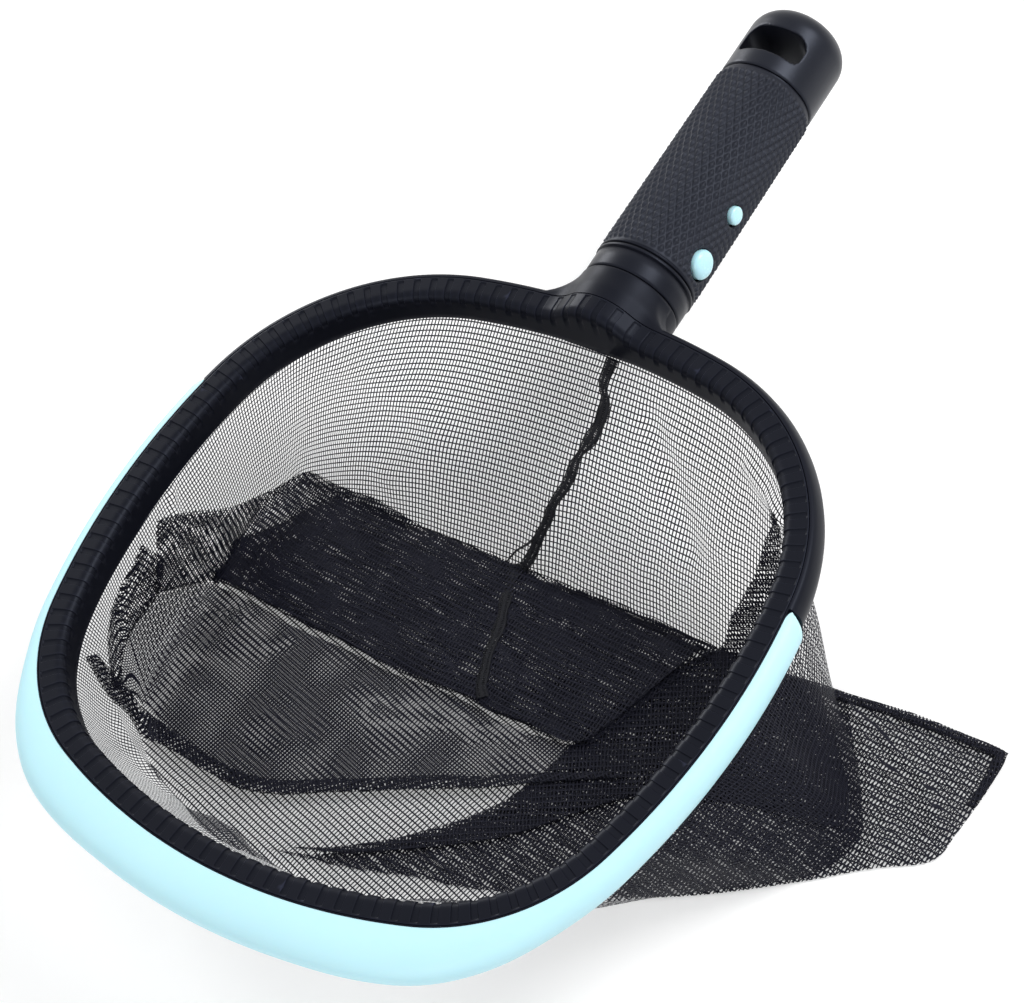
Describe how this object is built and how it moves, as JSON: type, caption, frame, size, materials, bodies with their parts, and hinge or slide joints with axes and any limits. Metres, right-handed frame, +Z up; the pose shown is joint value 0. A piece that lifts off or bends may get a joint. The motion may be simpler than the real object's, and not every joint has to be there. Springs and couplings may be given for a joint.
{
  "type": "leaf skimmer net",
  "caption": "Hand skimmer net for pools and spas: a moulded hoop with a soft scraper lip, a clip-in mesh bag, and a grip whose spring clip locks onto a pole spigot.",
  "frame": {"origin": "centre of the seam between the hoop's neck and the grip's collar, on the grip's axis", "axes": "+Y runs along the grip to its hanging cap, and rises with it by 2.8 degrees from the hoop's plane; the hoop lies toward -Y with its top face level; +Z up; the bag hangs toward -Z"},
  "size_m": [0.286, 0.3682, 0.0847],
  "materials": {
    "hoop_plastic": "satin moulded black, fine grain",
    "ring_plastic": "satin moulded dark grey",
    "lip_soft": "smooth soft plastic, pale cyan",
    "groove_cord": "round elastic cord",
    "bag_mesh": "woven open mesh, black",
    "bag_binding": "folded and stitched mesh, black",
    "grip_rubber": "raised scale pattern",
    "cap_plastic": "satin",
    "spigot_alloy": "drawn tube",
    "clip_steel": "spring strip",
    "button_plastic": "polished pale sky blue"
  },
  "bodies": {
    "net": {"frame": "hoop_plastic", "spigot_tube": "spigot_alloy", "retaining_ring": "ring_plastic", "scraper_lip": "lip_soft", "mouth_cord": "groove_cord", "mouth_hem": "bag_mesh", "bag_body": "bag_mesh", "bag_tail": "bag_mesh", "bag_seam": "bag_binding", "tail_hem": "bag_binding", "grip_core": "hoop_plastic", "grip_sleeve": "grip_rubber", "end_cap": "cap_plastic", "clip_bow": "clip_steel"},
    "clip_right": {"clip_leg_right": "clip_steel", "press_button_right": "button_plastic", "lock_pin_right": "button_plastic"},
    "clip_left": {"clip_leg_left": "clip_steel", "press_button_left": "button_plastic", "lock_pin_left": "button_plastic"}
  },
  "joints": [
    {"name": "right_button_press", "type": "hinge", "parent": "net", "child": "clip_right", "pos_m": [0.00941, 0.07984, 0.00523], "axis": [0.1392, 0.0484, -0.9891], "range_deg": [0, 5.9], "stiffness_Nm_per_rad": 0.35, "springref_deg": -2.86},
    {"name": "left_button_press", "type": "hinge", "parent": "net", "child": "clip_left", "pos_m": [-0.00941, 0.07997, 0.00259], "axis": [-0.1392, -0.0484, 0.9891], "range_deg": [0, 5.9], "stiffness_Nm_per_rad": 0.35, "springref_deg": -2.86}
  ]
}
